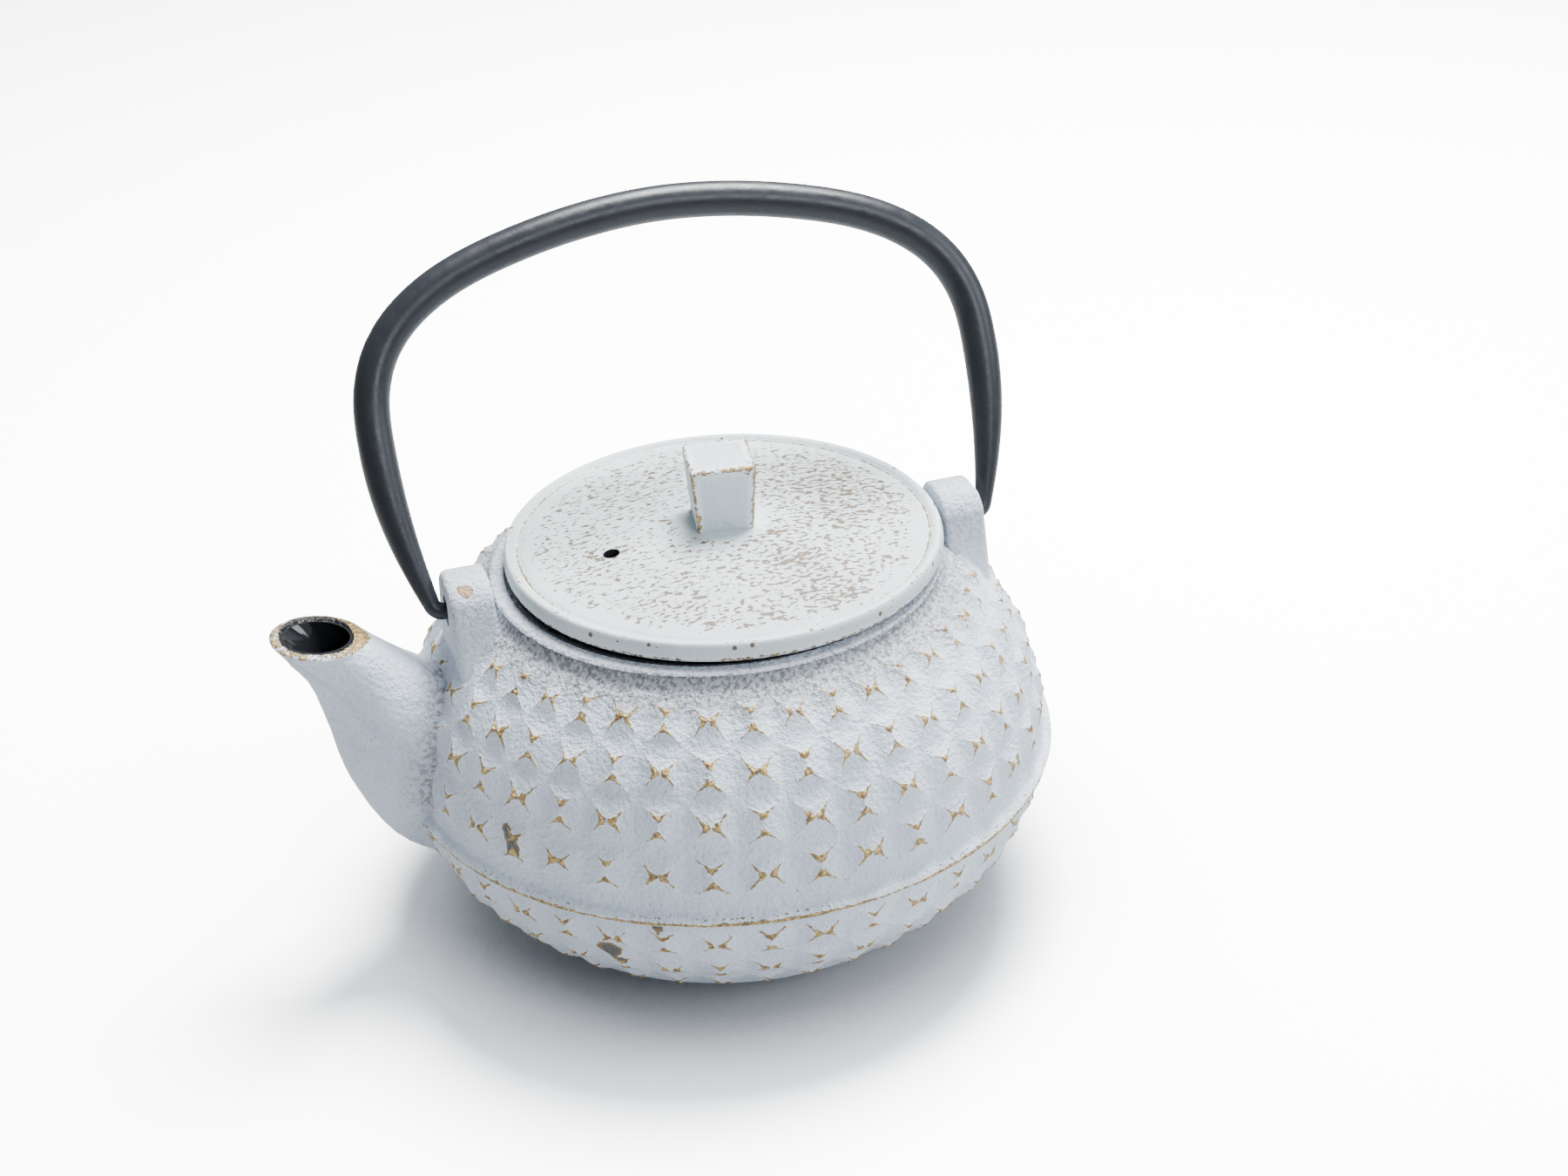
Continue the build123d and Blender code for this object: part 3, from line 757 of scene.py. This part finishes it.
def make_core():
    """The bowl's outer form a little under its skin, used to trim what stands on it."""
    points = [(0.0, 1.0)] + [side_point(arc, CORE_DEPTH) for arc in range(-40, 56, 6)] + [(0.0, 82.0)]
    core = draw_profile("core_cutter", points)
    spin_round(core, 96)
    return core


# ------------------------------------------------------------------ spout
SPOUT_STATIONS = [
    ((66.0, 20.0), (52.0, 56.0), 27.0),
    ((79.5, 31.0), (60.5, 67.0), 31.5),
    ((87.5, 47.0), (67.0, 72.0), 26.5),
    ((90.6, 62.0), (72.0, 75.6), 20.8),
    ((93.6, 73.5), (76.2, 79.0), 18.6),
    ((100.2, 84.6), (80.2, 82.2), 19.4),
]
SPOUT_WALL = 2.4
AROUND = 64


def smooth_run(values, spot):
    """Smooth curve through evenly spaced values (numbers or vectors)."""
    last = len(values) - 1
    index = min(int(spot), last - 1)
    t = spot - index
    before = values[max(index - 1, 0)]
    start, end = values[index], values[index + 1]
    after = values[min(index + 2, last)]
    if index == 0:
        before = start * 2 - end
    if index + 1 == last:
        after = end * 2 - start
    return (start * 2 + (end - before) * t + (before * 2 - start * 5 + end * 4 - after) * t * t
            + (start * 3 - before - end * 3 + after) * t * t * t) * 0.5


LOW_LINE = [Vector(station[0]) for station in SPOUT_STATIONS]
TOP_LINE = [Vector(station[1]) for station in SPOUT_STATIONS]
WIDTHS = [Vector((station[2], 0)) for station in SPOUT_STATIONS]


def spout_ring(spot, inset, lift=0.0):
    """Points of the spout's oval at a spot along it, with a soft crease low on each flank
    and its flanks drawn in a little where they meet the bowl."""
    low, top = smooth_run(LOW_LINE, spot), smooth_run(TOP_LINE, spot)
    width = smooth_run(WIDTHS, spot).x
    centre, across = (low + top) / 2, (top - low)
    half_tall, half_wide = across.length / 2 - inset, width / 2 - inset
    across.normalize()
    along = Vector((across.y, -across.x))
    ring = []
    crease = 36 + (4.55 - spot) * 17
    strength = 0.085 * min(1.0, max(0.0, (spot - 1.9) / 0.9)) * min(1.0, max(0.0, (5.0 - spot) / 0.5))
    for step in range(AROUND):
        turn = math.tau * step / AROUND
        from_low = math.degrees(abs(math.atan2(math.sin(turn), -math.cos(turn))))
        ridge = math.exp(-((from_low - crease + 6) / 6) ** 2)
        hollow = math.exp(-((from_low - crease - 6) / 7) ** 2)
        keel = strength * (ridge - hollow) if inset == 0 else 0.0
        high = math.cos(turn) * half_tall * (1 + keel)
        side = math.sin(turn) * half_wide * (1 + keel)
        place = centre + across * high + along * lift
        if inset == 0:
            near = max(0.0, 1 - abs(off_bowl(place.x, side, place.y) + 0.5) / 4.5)
            side *= 1 - 0.09 * near
        ring.append(Vector((place.x, side, place.y)) * MM)
    return ring


def off_bowl(x, y, z):
    """How far outside the bowl's smooth side a point is, in mm."""
    rise, power = (UPPER_RISE, UPPER_POWER) if z > BELT_Z else (LOWER_RISE, LOWER_POWER)
    share = min(1.0, abs(z - BELT_Z) / rise)
    return math.hypot(x, y) - BELT_R * (1 - share ** power) ** (1 / power)


def make_spout(core):
    rings = [spout_ring(spot / 5, 0.0) for spot in range(0, 25)]
    rings += [spout_ring(4.88, -0.15), spout_ring(4.95, -0.25), spout_ring(5.0, -0.05, 0.0),
              spout_ring(5.0, 0.5, 0.35), spout_ring(5.0, 1.2, 0.45), spout_ring(5.0, 1.9, 0.3),
              spout_ring(5.0, 2.3, -0.1)]
    rings += [spout_ring(spot / 5, SPOUT_WALL) for spot in range(24, -1, -2)]
    deselect_all()
    bpy.ops.mesh.primitive_circle_add(vertices=AROUND, radius=0.01, location=(0, 0, 0))
    spout = named("spout")
    edit("VERT")
    bpy.ops.mesh.select_all(action="SELECT")
    for number, ring in enumerate(rings):
        if number:
            bpy.ops.mesh.extrude_region_move(TRANSFORM_OT_translate={"value": (0, 0, 0)})
        mesh = bmesh.from_edit_mesh(spout.data)
        for vertex, place in zip([v for v in mesh.verts if v.select], ring):
            vertex.co = place
        bmesh.update_edit_mesh(spout.data)
    bpy.ops.mesh.select_mode(type="EDGE")
    bpy.ops.mesh.select_all(action="DESELECT")
    bpy.ops.mesh.select_non_manifold()
    bpy.ops.mesh.bridge_edge_loops()
    bpy.ops.mesh.select_all(action="SELECT")
    bpy.ops.mesh.normals_make_consistent(inside=False)
    done()
    cut_away(spout, core)
    pick(spout)
    thin = spout.modifiers.new("smooth", "SUBSURF")
    thin.subdivision_type = "SIMPLE"
    thin.levels = thin.render_levels = 1
    finish_modifiers(spout)
    mark_spout_wear(spout)
    roughen(spout, 2.4, 0.22)
    smooth(spout, 30)
    wears(spout, SPOUT_IRON)
    belongs(spout, "pot", "painted_iron", "pot_spout")
    return spout


def mark_spout_wear(spout):
    """Bare lip, thickest towards the bowl, black lining inside it, and sand spots with painted shade in the crease
    near the bowl.
    """
    low, top = SPOUT_STATIONS[-1][0], SPOUT_STATIONS[-1][1]
    across = Vector((top[0] - low[0], 0, top[1] - low[1]))
    half_tall, half_wide = across.length / 2, SPOUT_STATIONS[-1][2] / 2
    across.normalize()
    out = Vector((across.z, 0, -across.x))
    middle = Vector(((low[0] + top[0]) / 2, 0, (low[1] + top[1]) / 2))
    wear = spout.data.attributes.new("wear", "FLOAT", "POINT")
    lining = spout.data.attributes.new("lining", "FLOAT", "POINT")
    sand = spout.data.attributes.new("sand_and_shade", "FLOAT", "POINT")
    for vertex, rub, black, sand_and_shade_amount in zip(spout.data.vertices, wear.data, lining.data, sand.data):
        spot = vertex.co / MM
        away = (spot - middle).dot(out)
        along, side = (spot - middle).dot(across) / half_tall, spot.y / half_wide
        round_share = math.hypot(along, side)
        end = abs(along) / max(round_share, 0.01)
        upper = max(0.0, along / max(round_share, 0.01))
        inset = (1 - round_share) * (half_tall + half_wide) / 2
        if away > -2.5:
            edge = 0.60 + 0.26 * upper
            rub.value = edge if away > -0.15 else max(0.0, edge + 0.1 + away * (0.9 - 0.4 * upper))
            black.value = max(0.0, min(1.0, 0.5 + (inset - 1.05 - 0.95 * end ** 4) / 1.6))
        # sand spots and painted shade along the crease where the spout meets the bowl, weaker low down
        sand_and_shade_amount.value = max(0.0, min(1.0, (7.0 - off_bowl(*spot)) / 7.0)) * (0.85 if spot.z > 44 else 0.25)


# ------------------------------------------------------------------ ears
EAR_INNER, EAR_OUTER = 51.9, 61.6
PIVOT_Z = 84.0


def make_ear(name, side, core):
    """Tapered tab with rounded shoulders, slotted and bored for the handle's end."""
    deselect_all()
    bpy.ops.mesh.primitive_cube_add(size=1, location=(0, 0, 0))
    ear = named(name)
    middle = side * (EAR_INNER + EAR_OUTER) / 2
    for vertex in ear.data.vertices:
        high = vertex.co.z > 0
        half = 7.0 if high else 13.5
        vertex.co = Vector((middle + math.copysign((EAR_OUTER - EAR_INNER) / 2, vertex.co.x),
                            math.copysign(half, vertex.co.y), 92.0 if high else 68.0)) * MM
    pick(ear)
    edit("EDGE")

    def shoulder(edge):
        one, two = edge.verts
        return min(one.co.z, two.co.z) > 0.091 and abs(one.co.y - two.co.y) < 0.0001
    choose(ear, shoulder, "edges")
    bpy.ops.mesh.bevel(offset=0.0045, segments=8, profile=0.5, affect="EDGES")

    def outer_edge(edge):
        one, two = edge.verts
        on_face = all(abs(abs(v.co.x) - EAR_OUTER * MM) < 0.0001 for v in (one, two))
        return on_face and max(one.co.z, two.co.z) > 0.069
    choose(ear, outer_edge, "edges")
    bpy.ops.mesh.bevel(offset=0.0016, segments=4, profile=0.5, affect="EDGES", clamp_overlap=True)

    def inner_edge(edge):
        one, two = edge.verts
        on_face = all(abs(abs(v.co.x) - EAR_INNER * MM) < 0.0001 for v in (one, two))
        return on_face and max(one.co.z, two.co.z) > 0.069
    choose(ear, inner_edge, "edges")
    bpy.ops.mesh.bevel(offset=0.0009, segments=3, profile=0.5, affect="EDGES", clamp_overlap=True)
    done()
    mark_ear_wear(ear, side)
    cut_away(ear, core)
    deselect_all()
    bpy.ops.mesh.primitive_cylinder_add(vertices=32, radius=0.0024, depth=0.0032,
                                        location=(side * EAR_OUTER * MM, 0, (PIVOT_Z + 1.4) * MM),
                                        rotation=(0, math.pi / 2, 0))
    slot = named("slot_cutter")
    pick(slot)
    edit("VERT")
    choose(slot, lambda v: v.co.x > 0.0, "verts")
    done()
    for vertex in slot.data.vertices:
        if vertex.co.x > 0.0:
            vertex.co.x += 0.0028
    cut_away(ear, slot)
    remove(slot)
    drill(ear, 1.95, 14, (side * (EAR_OUTER + EAR_INNER) / 2, 0, PIVOT_Z), 32, ALONG_X)
    smooth(ear, 35)
    wears(ear, EAR_IRON)
    belongs(ear, "pot", "painted_iron", name)
    return ear


def mark_ear_wear(ear, side):
    """Rubbed along the outer corner where the handle knocks."""
    store = ear.data.attributes.new("wear", "FLOAT", "POINT")
    sand = ear.data.attributes.new("sand_and_shade", "FLOAT", "POINT")
    for vertex, item, sand_and_shade_amount in zip(ear.data.vertices, store.data, sand.data):
        x, y, z = vertex.co / MM
        # sand spots and painted shade, darker towards the ear's foot
        sand_and_shade_amount.value = max(0.25, min(0.85, (94 - z) / 14))
        near_outer = max(0.0, 1 - abs(abs(x) - EAR_OUTER + 0.5) / 1.2)
        item.value = 0.42 * near_outer * (1.0 if z > 72 else 0.0)


# ------------------------------------------------------------------ lid
LID_PROFILE = [
    (0.0, 94.4), (6.0, 94.4), (9.2, 94.4), (10.2, 94.3), (12.5, 94.08), (16.0, 93.75), (20.0, 93.38), (24.0, 92.97),
    (28.0, 92.48), (32.0, 91.95), (36.0, 91.47), (40.3, 91.0), (43.0, 90.72), (44.6, 90.6), (45.5, 90.45),
    (45.85, 90.12), (46.1, 90.05), (46.35, 90.2), (46.7, 90.8), (47.2, 91.08), (47.6, 91.13), (48.0, 91.08),
    (48.4, 90.98), (48.75, 90.6),
    (49.0, 90.0), (49.15, 89.2), (49.22, 88.3), (49.1, 87.5), (48.75, 86.85), (48.3, 86.5), (47.7, 86.4),
    (42.0, 86.4), (36.0, 86.4), (36.0, 81.8), (33.0, 81.8), (33.0, 86.4), (16.0, 86.4), (0.0, 86.4),
]
KNOB_TURN = math.radians(-8)


def make_lid():
    lid = draw_profile("lid", LID_PROFILE)
    spin_round(lid, 180)
    for vertex in lid.data.vertices:
        vertex.co.x += LID_AXIS_X * MM
    drill(lid, VENT_R, 30, VENT, 40)
    store = lid.data.attributes.new("wear", "FLOAT", "POINT")
    for vertex, item in zip(lid.data.vertices, store.data):
        radius = math.hypot(vertex.co.x / MM - LID_AXIS_X, vertex.co.y / MM)
        z = vertex.co.z / MM
        groove = max(0.0, 1 - abs(radius - 46.1) / 0.6) if z > 89.9 else 0.0
        crest = max(0.0, 1 - abs(radius - 48.2) / 0.6) * 0.55 if z > 90.5 else 0.0
        hem = 0.55 if 86.6 < z < 88.0 and radius > 48.4 else 0.0
        item.value = max(groove * 0.72, crest, hem)
    smooth(lid, 40)
    wears(lid, LID_PAINT)
    belongs(lid, "lid", "speckled_iron", "lid_plate")
    return lid


def make_knob():
    """Square knob that widens upwards, with softened and rubbed edges."""
    deselect_all()
    bpy.ops.mesh.primitive_cube_add(size=1, location=(LID_AXIS_X * MM, 0, 0.0), rotation=(0, 0, KNOB_TURN))
    knob = named("knob")
    foot, head, low, high = 12.6, 14.75, 94.2, 110.0
    for vertex in knob.data.vertices:
        side = head if vertex.co.z > 0 else foot
        vertex.co = Vector((vertex.co.x * side, vertex.co.y * side, high if vertex.co.z > 0 else low)) * MM
    place_in_mesh(knob)
    edit("EDGE")
    choose(knob, lambda edge: max(v.co.z for v in edge.verts) > 0.1, "edges")
    bpy.ops.mesh.bevel(offset=0.0009, segments=4, profile=0.5, affect="EDGES")
    bpy.ops.mesh.select_all(action="SELECT")
    bpy.ops.mesh.subdivide(number_cuts=5)
    done()
    turn_back = Matrix.Rotation(-KNOB_TURN, 3, "Z")
    store = knob.data.attributes.new("wear", "FLOAT", "POINT")
    for vertex, item in zip(knob.data.vertices, store.data):
        local = turn_back @ (vertex.co - Vector((LID_AXIS_X * MM, 0, 0)))
        x, y, z = local / MM
        half = (foot + (head - foot) * (z - low) / (high - low)) / 2
        gaps = sorted((half - abs(x), half - abs(y), high - z))
        item.value = max(0.0, 1 - (gaps[0] + gaps[1]) / 1.5)
    roughen(knob, 3.0, 0.25)
    smooth(knob, 40)
    wears(knob, KNOB_PAINT)
    belongs(knob, "lid", "speckled_iron", "lid_knob")
    return knob


# ------------------------------------------------------------------ tea basket
BASKET_R, BASKET_LOW, BASKET_HIGH = 39.1, 40.0, 84.2


def make_mesh_wall():
    """Perforated wall: every cell of a fine tube inset, opened and thickened."""
    rows = 26
    heights = [BASKET_LOW + (BASKET_HIGH - BASKET_LOW) * i / rows for i in range(rows + 1)]
    wall = draw_profile("mesh_wall", [(BASKET_R, height) for height in heights])
    spin_round(wall, 144)
    pick(wall)
    edit()
    choose(wall, lambda face: 0.0415 < face.calc_center_median().z < 0.0825)
    bpy.ops.mesh.inset(thickness=0.00034, use_individual=True)
    bpy.ops.mesh.delete(type="FACE")
    done()
    thick = wall.modifiers.new("thick", "SOLIDIFY")
    thick.thickness = 0.0005
    thick.offset = 0.0
    finish_modifiers(wall)
    wears(wall, MESH_STEEL)
    belongs(wall, "infuser", "stainless_mesh", "infuser_wall")
    return wall


def make_mesh_floor():
    """Perforated disc across the bottom of the basket."""
    deselect_all()
    bpy.ops.mesh.primitive_grid_add(x_subdivisions=48, y_subdivisions=48, size=0.0776, location=(0, 0, 0.0343))
    floor = named("mesh_floor")
    place_in_mesh(floor)
    edit()
    choose(floor, lambda face: face.calc_center_median().xy.length > 0.0385)
    bpy.ops.mesh.delete(type="FACE")
    choose(floor, lambda face: face.calc_center_median().xy.length < 0.036)
    bpy.ops.mesh.inset(thickness=0.00032, use_individual=True)
    bpy.ops.mesh.delete(type="FACE")
    done()
    thick = floor.modifiers.new("thick", "SOLIDIFY")
    thick.thickness = 0.0005
    thick.offset = 0.0
    finish_modifiers(floor)
    wears(floor, MESH_STEEL)
    belongs(floor, "infuser", "stainless_mesh", "infuser_floor")
    return floor


# ------------------------------------------------------------------ make everything
core = make_core()
bowl = make_bowl()
spout = make_spout(core)
make_ear("ear_front", 1, core)
make_ear("ear_rear", -1, core)
remove(core)
make_lid()
make_knob()
make_mesh_wall()
make_mesh_floor()
for node, material in (("pot_enamel", ENAMEL_BLACK), ("spout_enamel", ENAMEL_BLACK), ("lid_enamel", ENAMEL_BLACK),
                       ("infuser_rim", STEEL), ("infuser_hoop", STEEL), ("bail", BAR_BLACK)):
    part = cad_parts[node]
    for place in part.material_slots:
        place.material = material

# ------------------------------------------------------------------ floor, light, camera
deselect_all()
bpy.ops.mesh.primitive_plane_add(size=6, location=(0, 0, 0))
ground = named("ground")
ground_material, ground_board, ground_shader, _ = new_material("pale_floor")
ground_board.tree.nodes.remove(ground_shader)
seen = ground_board.add("ShaderNodeLightPath").outputs["Is Camera Ray"]
# painted shadow: for the camera an ambient occlusion node darkens the floor round the pot's foot, while the open
# floor is brightened evenly
open_air = ground_board.add("ShaderNodeAmbientOcclusion", {"Distance": 0.13}, samples=12).outputs["AO"]
deep = ground_board.between(open_air, 0.30, 0.97)
camera_floor_with_painted_shadow = ground_board.mix(deep, (0.42, 0.42, 0.43, 1), (3.2, 3.2, 3.2, 1))
white = ground_board.mix(seen, (0.5, 0.5, 0.5, 1), camera_floor_with_painted_shadow)
plain = ground_board.add("ShaderNodeBsdfDiffuse", {"Color": white})
ground_output = next(node for node in ground_board.tree.nodes if node.type == "OUTPUT_MATERIAL")
ground_board.feed(ground_output.inputs["Surface"], plain.outputs[0])
wears(ground, ground_material)

world = bpy.data.worlds.new("studio")
bpy.context.scene.world = world
world.use_nodes = True
sky = world.node_tree.nodes["Background"]
sky.inputs[0].default_value = (0.88, 0.94, 1.0, 1)
sky_board = Board(world.node_tree)
sky_board.feed(sky.inputs[1], sky_board.between(sky_board.add("ShaderNodeLightPath").outputs["Is Camera Ray"],
                                                0.0, 1.0, 0.42, 2.6))


def soft_light(name, place, target, size, power, color=(1, 1, 1)):
    lamp = bpy.data.lights.new(name, "AREA")
    lamp.shape = "DISK"
    lamp.size = size
    lamp.energy = power
    lamp.color = color
    holder = bpy.data.objects.new(name, lamp)
    bpy.context.collection.objects.link(holder)
    holder.location = place
    holder.rotation_euler = (Vector(target) - Vector(place)).to_track_quat("-Z", "Y").to_euler()


soft_light("overhead", (-0.25, -0.25, 0.87), (0, 0, 0.05), 0.45, 34.0)
soft_light("front_fill", (-0.35, 0.85, 0.7), (0, 0, 0.05), 0.5, 5.5, (0.9, 0.95, 1.0))
soft_light("side_fill", (-0.95, 0.35, 0.6), (0, 0, 0.05), 0.6, 5.0, (0.9, 0.95, 1.0))

camera_data = bpy.data.cameras.new("camera")
camera_data.lens = 60
camera_data.sensor_width = 36
camera_data.clip_start = 0.01
camera = bpy.data.objects.new("camera", camera_data)
bpy.context.collection.objects.link(camera)
right = Vector((-0.9537006, 0.2980359, -0.0403701))
up = Vector((-0.1825598, -0.4669859, 0.8652145))
back = Vector((0.2390127, 0.8325256, 0.4997741))
stand = Matrix.Translation((0.126887, 0.496087, 0.371241))
camera.matrix_world = stand @ Matrix((right, up, back)).transposed().to_4x4()
bpy.context.scene.camera = camera
